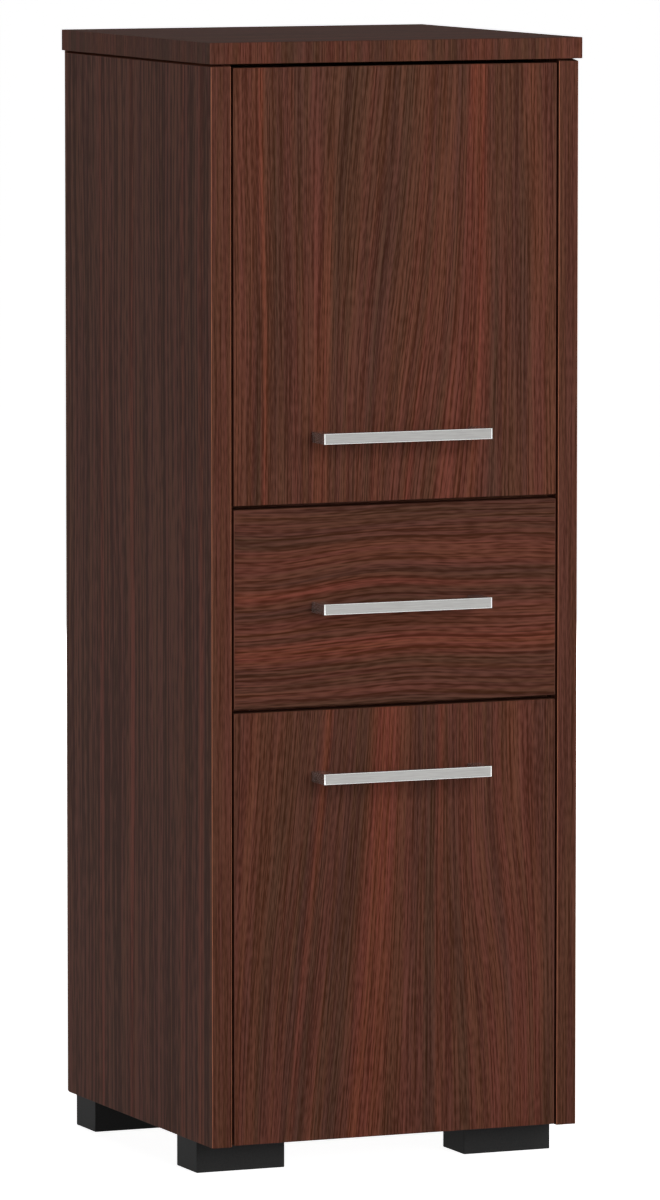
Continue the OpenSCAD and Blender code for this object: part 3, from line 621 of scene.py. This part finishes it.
class Finishes:
    """The cabinet's materials, each made once, on first use.

    Attributes:
        known: The finishes by name.
        made: The materials made so far, by name.
    """

    SPECKLES = (
        Speckle("Foot plastic", (52, 52, 52), (58, 58, 58), specular=0.02, roughness=0.5, relief=0.00005),
        # The arris foils are lighter than the board foils: a painted highlight along eased edges.
        Speckle("Foil arris, painted highlight", (100, 62, 49), (120, 74, 58), (1200.0, 1200.0, 60.0),
                roughness=0.5, specular=0.02, relief=0.0),
        Speckle("Bright foil arris, stronger painted highlight", (156, 98, 74), (175, 111, 83), (1200.0, 1200.0, 60.0),
                roughness=0.5, specular=0.02, relief=0.0),
        Speckle("Satin handle face", (158, 157, 155), (170, 169, 167), (60.0, 900.0, 1500.0),
                metallic=1.0, roughness=0.4, relief=0.000004),
        # Brighter than the satin face: partly the polish, partly a painted highlight, as the lamps leave no
        # highlights of their own.
        Speckle("Polished handle edge, partly painted highlight", (238, 238, 237), (248, 248, 246), (200.0, 400.0, 400.0),
                metallic=1.0, roughness=0.2, relief=0.0),
        Speckle("Brushed handle leg", (198, 194, 192), (210, 206, 204), (400.0, 400.0, 400.0),
                metallic=0.8, roughness=0.16, relief=0.0),
        Speckle("Zinc plate", (150, 152, 156), (184, 186, 190), (260.0, 260.0, 260.0),
                metallic=1.0, roughness=0.34, relief=0.000004),
        Speckle("Nickel plate", (176, 174, 168), (196, 194, 188), (180.0, 180.0, 180.0),
                metallic=1.0, roughness=0.24, relief=0.000003),
        Speckle("Die-cast zinc", (128, 130, 133), (158, 160, 163), (700.0, 700.0, 700.0),
                metallic=1.0, roughness=0.46, relief=0.00002),
        Speckle("Runner coat", (224, 223, 216), (234, 233, 227), (500.0, 500.0, 500.0),
                roughness=0.38, relief=0.00001),
        Speckle("Roller nylon", (226, 226, 220), (238, 238, 233), (300.0, 300.0, 300.0),
                roughness=0.5, relief=0.00001),
        Speckle("Bumper rubber", (196, 196, 190), (214, 214, 208), (400.0, 400.0, 400.0),
                roughness=0.6, relief=0.00001),
        Speckle("Hardboard", (99, 68, 50), (115, 81, 60), (420.0, 420.0, 160.0),
                detail=5.0, roughness=0.7, specular=0.1, relief=0.00006),
        Speckle("Beech", (190, 148, 104), (214, 176, 132), (60.0, 700.0, 700.0),
                roughness=0.65, specular=0.1, relief=0.00004),
    )
    FOILS = (
        WoodFoil("Foil upper door", Lie.UPRIGHT_FRONT, (3.1, 7.7, 1.3),
                 sways=(Sway(0.0, 0.67, 0.09, 0.25, 0.11), Sway(0.045, 0.56, 0.07, 0.1, 0.05)),
                 accents=(Accent(0.064, 0.02, 1.0), Accent(-0.1035, 0.004, 0.8), Accent(-0.055, 0.012, 0.3),
                          Accent(0.03, 0.005, 0.6))),
        WoodFoil("Foil lower door", Lie.UPRIGHT_FRONT, (11.4, 2.9, 8.6),
                 sways=(Sway(-0.06, 0.17, 0.11, 0.3, 0.12), Sway(0.085, 0.19, 0.05, 0.1, -0.12)),
                 accents=(Accent(-0.012, 0.022, 0.7), Accent(0.04, 0.006, 0.6), Accent(-0.07, 0.006, 0.6))),
        WoodFoil("Foil drawer front", Lie.LEVEL_FRONT, (5.6, 1.2, 4.4), figure=0.006,
                 wander=(14.0, 9.0), coarse=1.7, straight=0.38, contrast=1.1, rust=1.15, tone=0.96,
                 sways=(Sway(0.455, -0.04, 0.05, 0.05, 0.08), Sway(0.45, 0.05, 0.05, 0.05, -0.08)),
                 accents=(Accent(0.447, 0.008, 0.6), Accent(0.405, 0.012, 0.7), Accent(0.385, 0.006, 0.6))),
        WoodFoil("Foil left side", Lie.UPRIGHT_SIDE, (21.4, 3.3, 9.8), coarse=2.1, contrast=2.0, rust=0.2,
                 straight=0.5,
                 accents=(Accent(0.027, 0.007, 1.0), Accent(0.09, 0.005, 0.8), Accent(-0.077, 0.006, 0.6),
                          Accent(-0.112, 0.008, 0.8))),
        WoodFoil("Foil right side", Lie.UPRIGHT_SIDE, (14.2, 8.3, 2.8), coarse=1.5, contrast=1.1, rust=0.4,
                 straight=0.5,
                 accents=(Accent(0.05, 0.007, 0.9), Accent(-0.04, 0.006, 0.7))),
        WoodFoil("Foil top edges", Lie.UPRIGHT_FRONT, (2.2, 15.1, 6.5), figure=0.0, contrast=0.8),
        # The top face's tone of 0.7 is painted shade: it darkens the top as if the light fell from the
        # front.
        WoodFoil("Foil top face", Lie.LEVEL_BOARD, (6.6, 9.4, 3.7), contrast=0.6, rust=0.4, tone=0.7,
                 gloss=0.001),
        WoodFoil("Foil rails", Lie.LEVEL_BOARD, (9.9, 4.1, 12.5)),
        WoodFoil("Foil shelves", Lie.LEVEL_BOARD, (17.3, 6.2, 1.9)),
        WoodFoil("Foil drawer sides", Lie.LEVEL_SIDE, (8.8, 13.7, 5.2)),
        WoodFoil("Foil drawer back", Lie.LEVEL_FRONT, (1.7, 19.5, 7.1)),
        WoodFoil("Edging along the width", Lie.LEVEL_BOARD, (4.6, 2.4, 16.0), figure=0.0),
        WoodFoil("Edging along the depth", Lie.LEVEL_SIDE, (7.3, 5.1, 3.3), figure=0.0),
        WoodFoil("Edging upright", Lie.UPRIGHT_FRONT, (12.7, 5.9, 10.3), figure=0.0, contrast=0.8, rust=0.2),
    )

    def __init__(self) -> None:
        """Lists the finishes by name."""
        self.known = {finish.name: finish for finish in (*self.SPECKLES, *self.FOILS)}
        self.made: dict[str, bpy.types.Material] = {}

    def get(self, name: str) -> bpy.types.Material:
        """Finds a material, and makes it on first use.

        Args:
            name: The finish's name.

        Returns:
            The material.
        """
        if name not in self.made:
            self.made[name] = self.known[name].build()
        return self.made[name]


FINISHES = Finishes()


class Solid:
    """A merged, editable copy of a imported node's mesh, finished as a piece of its own."""

    FLAT_WEIGHT = 100

    def __init__(self, node: str) -> None:
        """Copies the node's mesh and makes its flat faces whole again.

        Args:
            node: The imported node's name.
        """
        self.node_name = node
        self.low, self.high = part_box(node)
        self.mesh = bmesh.new()
        self.mesh.from_mesh(frame["nodes"][node].data)
        bmesh.ops.remove_doubles(self.mesh, verts=self.mesh.verts, dist=MERGE_DISTANCE)
        bmesh.ops.dissolve_limit(
            self.mesh, angle_limit=FLAT_ANGLE, verts=self.mesh.verts, edges=self.mesh.edges
        )

    def outer_edges(self) -> list[bmesh.types.BMEdge]:
        """Returns the edges that run along the edges of the piece's own box."""

        def planes(vert: bmesh.types.BMVert) -> set[tuple[int, int]]:
            """Finds the planes of the box that a vertex lies on.

            Args:
                vert: The vertex.

            Returns:
                Each plane's axis and side.
            """
            return {
                (axis, side)
                for axis in range(3)
                for side, corner in enumerate((self.low, self.high))
                if abs(vert.co[axis] - corner[axis]) < ON_PLANE
            }

        return [
            edge for edge in self.mesh.edges
            if len(planes(edge.verts[0]) & planes(edge.verts[1])) > 1
        ]

    def slope_top(self, drop: float, reach: float) -> None:
        """Slopes the top's rim away from the board above, on the sides that face out of the cabinet.

        Args:
            drop: How far the slope comes down.
            reach: How far it reaches in.
        """
        geometry = [*self.mesh.verts, *self.mesh.edges, *self.mesh.faces]
        level = Vector((0.0, 0.0, self.high.z - drop))
        bmesh.ops.bisect_plane(self.mesh, geom=geometry, plane_co=level, plane_no=(0.0, 0.0, 1.0))
        outward = self.low.x if abs(self.low.x) > abs(self.high.x) else self.high.x
        for vert in self.mesh.verts:
            if abs(vert.co.z - self.high.z) < ON_PLANE:
                if abs(vert.co.x - outward) < ON_PLANE:
                    vert.co.x -= math.copysign(reach, outward)
                if abs(vert.co.y - self.low.y) < ON_PLANE:
                    vert.co.y += reach

    def ease(self, edges: list[bmesh.types.BMEdge], radius: float, segments: int = 3) -> None:
        """Rounds edges over.

        Args:
            edges: The edges to round.
            radius: How far the rounding reaches.
            segments: How many strips it has.
        """
        bmesh.ops.bevel(
            self.mesh, geom=edges, offset=radius, offset_type="OFFSET", segments=segments,
            profile=0.5, affect="EDGES", clamp_overlap=True, material=-1,
        )

    def finish(self, materials: list[str], slot: str) -> bpy.types.Object:
        """Makes the piece that stands for the node.

        Args:
            materials: Names of its finishes, in the order of its faces' indices.
            slot: The record's material slot. Not used.

        Returns:
            The new piece.
        """
        for face in self.mesh.faces:
            face.smooth = True
        for edge in self.mesh.edges:
            edge.smooth = edge.is_manifold and edge.calc_face_angle(math.pi) < SMOOTH_ANGLE
        data = bpy.data.meshes.new(f"{self.node_name}_finished")
        self.mesh.to_mesh(data)
        self.mesh.free()
        piece = add_object(data.name, data)
        for name in materials:
            data.materials.append(FINISHES.get(name))
        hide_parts(self.node_name)
        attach(piece, frame["nodes"][self.node_name]["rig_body"])
        LOG.info("%s: %d faces", piece.name, len(data.polygons))
        return piece

    @classmethod
    def flatten(cls, piece: bpy.types.Object) -> bpy.types.Object:
        """Keeps the shading of broad faces flat beside their eased edges.

        Args:
            piece: The piece to shade.

        Returns:
            The same piece.
        """
        weighted = piece.modifiers.new("Flat faces", "WEIGHTED_NORMAL")
        weighted.keep_sharp = True
        weighted.weight = cls.FLAT_WEIGHT
        return piece


@dataclass
class Board:
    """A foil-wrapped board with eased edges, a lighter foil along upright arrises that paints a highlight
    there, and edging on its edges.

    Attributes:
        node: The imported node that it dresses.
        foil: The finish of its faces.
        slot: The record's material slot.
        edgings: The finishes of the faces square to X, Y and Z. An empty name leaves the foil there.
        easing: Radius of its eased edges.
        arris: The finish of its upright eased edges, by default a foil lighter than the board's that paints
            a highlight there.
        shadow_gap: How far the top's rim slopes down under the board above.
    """

    node: str
    foil: str
    slot: str
    edgings: tuple[str, str, str] = ("", "", "")
    easing: float = 0.0005
    arris: str = "Foil arris, painted highlight"
    shadow_gap: float = 0.0

    GAP_REACH = 2
    UPRIGHT = 0.1

    def build(self) -> bpy.types.Object:
        """Returns the finished board."""
        solid = Solid(self.node)
        if self.shadow_gap:
            solid.slope_top(self.shadow_gap, self.shadow_gap * self.GAP_REACH)
        solid.ease(solid.outer_edges(), self.easing)
        names = [self.foil, self.arris, *filter(None, self.edgings)]
        for face in solid.mesh.faces:
            shares = [abs(share) for share in face.normal]
            axis = shares.index(max(shares))
            # Upright eased faces take the lighter arris foil, which paints a highlight there.
            if shares[2] < self.UPRIGHT and shares[axis] < SQUARE:
                face.material_index = 1
            elif self.edgings[axis]:
                face.material_index = names.index(self.edgings[axis])
        return solid.flatten(solid.finish(names, self.slot))


@dataclass
class Handle:
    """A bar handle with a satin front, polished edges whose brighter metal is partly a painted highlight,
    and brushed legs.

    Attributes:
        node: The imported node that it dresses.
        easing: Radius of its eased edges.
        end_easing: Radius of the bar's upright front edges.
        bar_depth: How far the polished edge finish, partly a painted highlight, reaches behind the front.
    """

    node: str
    easing: float = 0.0004
    end_easing: float = 0.0012
    bar_depth: float = 0.0062

    def build(self) -> bpy.types.Object:
        """Returns the finished handle."""
        solid = Solid(self.node)
        ends = [
            edge
            for edge in solid.outer_edges()
            if abs(edge.verts[0].co.z - edge.verts[1].co.z) > self.end_easing
            and edge.verts[0].co.y < solid.low.y + self.easing
        ]
        solid.ease(ends, self.end_easing, segments=2)
        solid.ease(solid.outer_edges(), self.easing)
        for face in solid.mesh.faces:
            behind = face.calc_center_median().y - solid.low.y
            # Edges take the brighter polished metal, partly a painted highlight; faces farther back take the
            # leg finish.
            flat_front = face.normal.y < -SQUARE and behind < self.easing
            face.material_index = 0 if flat_front else 1 + int(behind > self.bar_depth)
        names = ["Satin handle face", "Polished handle edge, partly painted highlight", "Brushed handle leg"]
        return solid.flatten(solid.finish(names, "handle_metal"))


@dataclass
class Fitting:
    """A small part of metal, plastic or rubber with slightly broken edges.

    Attributes:
        node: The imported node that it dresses.
        material: Its finish.
        slot: The record's material slot.
        break_width: Width of its broken edges.
    """

    node: str
    material: str
    slot: str
    break_width: float = 0.00015

    BREAK_ANGLE = math.radians(40)
    BREAK_SEGMENTS = 2

    def build(self) -> bpy.types.Object:
        """Returns the finished fitting."""
        piece = Solid(self.node).finish([self.material], self.slot)
        broken = piece.modifiers.new("Broken edges", "BEVEL")
        broken.width = self.break_width
        broken.segments = self.BREAK_SEGMENTS
        broken.limit_method = "ANGLE"
        broken.angle_limit = self.BREAK_ANGLE
        broken.harden_normals = True
        return piece


@dataclass
class Foot:
    """A block foot of moulded plastic.

    Attributes:
        node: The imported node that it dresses.
        easing: Radius of its eased edges.
    """

    node: str
    easing: float = 0.0006

    def build(self) -> bpy.types.Object:
        """Returns the finished foot."""
        solid = Solid(self.node)
        solid.ease(solid.outer_edges(), self.easing)
        return solid.flatten(solid.finish(["Foot plastic"], "foot_plastic"))


@dataclass
class Hidden:
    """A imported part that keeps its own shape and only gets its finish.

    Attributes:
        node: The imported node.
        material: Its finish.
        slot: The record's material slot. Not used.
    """

    node: str
    material: str
    slot: str

    def build(self) -> bpy.types.Object:
        """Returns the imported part."""
        part = frame["nodes"][self.node]
        part.data.materials.clear()
        part.data.materials.append(FINISHES.get(self.material))
        return part


@dataclass
class Door:
    """A door with its handle and its hinges, apart from what is screwed to the side panel.

    Attributes:
        name: Which door it is, upper or lower.
    """

    name: str

    def parts(self) -> list[Board | Handle | Fitting]:
        """Returns the door's parts."""
        name = self.name
        return [
            Board(f"{name}_door_panel", f"Foil {name} door", "front_board",
                  edgings=("Edging upright", "", "Edging along the width")),
            Handle(f"{name}_door_handle"),
            Fitting(f"{name}_door_handle_screws", "Zinc plate", "zinc_screw"),
            Fitting(f"{name}_door_hinge_cups", "Nickel plate", "hinge_steel"),
            Fitting(f"{name}_door_cup_screws", "Zinc plate", "zinc_screw"),
            Fitting(f"{name}_door_inner_links", "Nickel plate", "hinge_steel"),
            Fitting(f"{name}_door_outer_links", "Nickel plate", "hinge_steel"),
            Fitting(f"{name}_door_hinge_arms", "Nickel plate", "hinge_steel"),
        ]


@dataclass
class Drawer:
    """The drawer box, its front and handle, and its half of the runners.

    Attributes:
        sides: The names of its two sides.
    """

    sides: tuple[str, str] = ("left", "right")

    def parts(self) -> list[Board | Handle | Fitting | Hidden]:
        """Returns the drawer's parts."""
        found: list[Board | Handle | Fitting | Hidden] = [
            Board("drawer_front", "Foil drawer front", "front_board",
                  edgings=("Edging upright", "", "Edging along the width")),
            Board("drawer_back", "Foil drawer back", "drawer_board", easing=0.0004,
                  edgings=("", "", "Edging along the width")),
            Board("drawer_bottom", "Hardboard", "hardboard", easing=0.0002, arris="Hardboard"),
            Handle("drawer_handle"),
            Fitting("drawer_handle_screws", "Zinc plate", "zinc_screw"),
            Fitting("drawer_cam_locks", "Die-cast zinc", "die_cast"),
            Hidden("drawer_cam_bolts", "Zinc plate", "zinc_screw"),
            Fitting("drawer_screws", "Zinc plate", "zinc_screw"),
        ]
        for side in self.sides:
            found += [
                Board(f"drawer_{side}_side", "Foil drawer sides", "drawer_board", easing=0.0004,
                      edgings=("", "Edging upright", "Edging along the depth")),
                Fitting(f"{side}_drawer_runner", "Runner coat", "runner_coat"),
                Fitting(f"{side}_drawer_roller", "Roller nylon", "roller_nylon", break_width=0.0004),
            ]
        return found


@dataclass
class Carcass:
    """The boards that stand still, with their feet, shelves, fittings and fixed runners.

    Attributes:
        sides: The names of its two sides.
        levels: The names of the spaces behind the doors.
    """

    sides: tuple[str, str] = ("left", "right")
    levels: tuple[str, str] = ("upper", "lower")

    def parts(self) -> list[Board | Foot | Fitting | Hidden]:
        """Returns the carcass's parts."""
        found: list[Board | Foot | Fitting | Hidden] = [
            Board("top_panel", "Foil top edges", "carcass_board", edgings=("", "", "Foil top face")),
            Board("bottom_panel", "Foil rails", "carcass_board", edgings=("", "Edging along the width", "")),
            Board("back_panel", "Hardboard", "hardboard", easing=0.0002, arris="Hardboard"),
            Fitting("shelf_pins", "Zinc plate", "zinc_screw"),
            Fitting("foot_screws", "Zinc plate", "zinc_screw"),
            Fitting("cam_locks", "Die-cast zinc", "die_cast"),
            Hidden("cam_bolts", "Zinc plate", "zinc_screw"),
            Hidden("dowels", "Beech", "beech"),
            Fitting("back_panel_nails", "Zinc plate", "zinc_screw"),
            Fitting("front_bumpers", "Bumper rubber", "bumper_rubber", break_width=0.0004),
            Fitting("hinge_plates", "Nickel plate", "hinge_steel", break_width=0.0003),
            Fitting("hinge_pins", "Nickel plate", "hinge_steel"),
            Fitting("hinge_screws", "Zinc plate", "zinc_screw"),
            Fitting("cabinet_runner_screws", "Zinc plate", "zinc_screw"),
        ]
        for side in self.sides:
            found += [
                Board(f"{side}_side_panel", f"Foil {side} side", "carcass_board", easing=0.001,
                      edgings=("", "Edging upright", "Edging along the depth"), arris="Bright foil arris, stronger painted highlight",
                      shadow_gap=0.002),
                Fitting(f"{side}_cabinet_runner", "Runner coat", "runner_coat"),
                Fitting(f"{side}_cabinet_roller", "Roller nylon", "roller_nylon", break_width=0.0004),
                Foot(f"front_{side}_foot"),
                Foot(f"rear_{side}_foot"),
            ]
        for level in self.levels:
            found += [
                Board(f"{level}_{kind}", foil, "carcass_board", edgings=("", "Edging along the width", ""))
                for kind, foil in (("shelf", "Foil shelves"), ("divider", "Foil rails"))
            ]
        return found


@dataclass
class Studio:
    """A pale floor, a white surround and soft lamps.

    The constants are the places of a Map Range node's sockets.

    Attributes:
        floor_width: Side length of the floor.
        ambient_level: Strength of the surround's light at the horizon.
        ambient_reach: How high up it has faded out, from 0 at the horizon to 1 overhead.
        floor_glow: The light of the floor itself, where it is seen.
        floor_albedo: The share of light that the floor throws back.
        key_place: Where the main lamp hangs.
        key_size: Side length of the main lamp.
        key_power: Power of the main lamp, in watts.
        fill_place: Where the rear lamp hangs.
        fill_size: Side length of the rear lamp.
        fill_power: Power of the rear lamp, in watts.
    """

    floor_width: float = 60.0
    ambient_level: float = 2.4
    ambient_reach: float = 0.3
    floor_glow: float = 0.943
    floor_albedo: float = 0.8
    key_place: Vector = field(default_factory=lambda: Vector((0.9, -3.6, 1.95)))
    key_size: float = 2.6
    key_power: float = 89.0
    fill_place: Vector = field(default_factory=lambda: Vector((1.2, 3.4, 1.2)))
    fill_size: float = 2.0
    fill_power: float = 60.0

    FROM_MAX, TO_MIN, TO_MAX = 2, 3, 4

    def seen(self, tree: bpy.types.NodeTree) -> Socket:
        """Tells whether the camera, a reflection or a refraction sees the surface.

        Args:
            tree: The node tree of the world or of a material.

        Returns:
            1 where it is seen, and 0 where it only lights something.
        """
        path = tree.nodes.new("ShaderNodeLightPath")
        total = path.outputs["Is Camera Ray"]
        for name in ("Is Glossy Ray", "Is Transmission Ray"):
            larger = tree.nodes.new("ShaderNodeMath")
            larger.operation = "MAXIMUM"
            tree.links.new(total, larger.inputs[0])
            tree.links.new(path.outputs[name], larger.inputs[1])
            total = larger.outputs[0]
        return total

    def build_world(self) -> None:
        """Makes the surround white where it is seen, and fading upwards where it lights the cabinet."""
        world = bpy.data.worlds.new("Surround")
        bpy.context.scene.world = world
        world.use_nodes = True
        tree = world.node_tree
        tree.nodes.clear()
        direction = tree.nodes.new("ShaderNodeTexCoord").outputs["Generated"]
        split = tree.nodes.new("ShaderNodeSeparateXYZ")
        tree.links.new(direction, split.inputs[0])
        height = tree.nodes.new("ShaderNodeMapRange")
        tree.links.new(split.outputs["Z"], height.inputs[0])
        height.inputs[self.FROM_MAX].default_value = self.ambient_reach
        height.inputs[self.TO_MIN].default_value = self.ambient_level
        height.inputs[self.TO_MAX].default_value = 0.0
        strength = tree.nodes.new("ShaderNodeMapRange")
        tree.links.new(self.seen(tree), strength.inputs[0])
        tree.links.new(height.outputs[0], strength.inputs[self.TO_MIN])
        strength.inputs[self.TO_MAX].default_value = 1.0
        backdrop = tree.nodes.new("ShaderNodeBackground")
        tree.links.new(strength.outputs[0], backdrop.inputs["Strength"])
        backdrop.inputs["Color"].default_value = WHITE
        output = tree.nodes.new("ShaderNodeOutputWorld")
        tree.links.new(backdrop.outputs[0], output.inputs[0])

    def build_floor(self) -> None:
        """Makes the floor, which keeps the cabinet's soft shadow."""
        shape = bmesh.new()
        bmesh.ops.create_grid(shape, x_segments=1, y_segments=1, size=self.floor_width / 2)
        data = bpy.data.meshes.new("floor")
        shape.to_mesh(data)
        shape.free()
        floor = add_object("floor", data)
        material = bpy.data.materials.new("Pale floor")
        material.use_nodes = True
        tree = material.node_tree
        shader = tree.nodes["Principled BSDF"]
        shade = self.floor_albedo
        shader.inputs["Base Color"].default_value = (shade, shade, shade, 1.0)
        shader.inputs["Roughness"].default_value = 1.0
        shader.inputs["Specular IOR Level"].default_value = 0.0
        shader.inputs["Emission Color"].default_value = WHITE
        glow = tree.nodes.new("ShaderNodeMath")
        glow.operation = "MULTIPLY"
        glow.inputs[1].default_value = self.floor_glow
        tree.links.new(self.seen(tree), glow.inputs[0])
        tree.links.new(glow.outputs[0], shader.inputs["Emission Strength"])
        data.materials.append(material)

    def build_lamp(self, name: str, place: Vector, size: float, power: float) -> None:
        """Hangs a square soft lamp that faces the cabinet's middle and leaves no highlight of its own.

        Args:
            name: The lamp's name.
            place: Where it hangs.
            size: Its side length.
            power: Its power in watts.
        """
        light = bpy.data.lights.new(name, "AREA")
        light.size = size
        light.energy = power
        lamp = add_object(name, light)
        middle = (CAD_BOX[0] + CAD_BOX[1]) / 2
        lamp.location = place
        lamp.rotation_euler = (middle - place).to_track_quat("-Z", "Y").to_euler()
        lamp.visible_glossy = False

    def build(self) -> None:
        """Sets up the surround, the floor and the lamps."""
        self.build_world()
        self.build_floor()
        self.build_lamp("key", self.key_place, self.key_size, self.key_power)
        self.build_lamp("fill", self.fill_place, self.fill_size, self.fill_power)
        bpy.context.scene.view_settings.view_transform = "Standard"


@dataclass(frozen=True)
class PhotoCamera:
    """The camera that took the photograph, from its solved place and focal length.

    Attributes:
        place: Where it stands.
        heading: Where it looks, in degrees to the right of +Y.
        tilt: How far it looks down, in degrees.
        focal_pixels: Its focal length, in pixels of the photograph.
        frame_pixels: Height of the photograph, in pixels.
        sensor: Height of the sensor, in millimetres.
        nearest: Where the view starts.
        farthest: Where the view ends.
    """

    place: Triple = (-2.609, -6.147, 1.0984)
    heading: float = 23.035
    tilt: float = 5.795
    focal_pixels: float = 8739.5
    frame_pixels: float = 1200.0
    sensor: float = 36.0
    nearest: float = 0.1
    farthest: float = 200.0

    def build(self) -> None:
        """Makes the camera and hands it to the scene."""
        data = bpy.data.cameras.new("photo_camera")
        data.sensor_fit = "AUTO"
        data.sensor_width = self.sensor
        data.lens = self.focal_pixels / self.frame_pixels * self.sensor
        data.clip_start = self.nearest
        data.clip_end = self.farthest
        camera = add_object("photo_camera", data)
        camera.location = self.place
        camera.rotation_euler = (math.radians(90 - self.tilt), 0.0, math.radians(-self.heading))
        bpy.context.scene.camera = camera


def main() -> None:
    """Builds the cabinet's parts, the studio and the camera."""
    logging.basicConfig(level=logging.INFO, format="%(name)s: %(message)s")
    PhotoCamera().build()
    Studio().build()
    for assembly in (Carcass(), Door("upper"), Door("lower"), Drawer()):
        for part in assembly.parts():
            part.build()


if __name__ == "__main__":
    main()
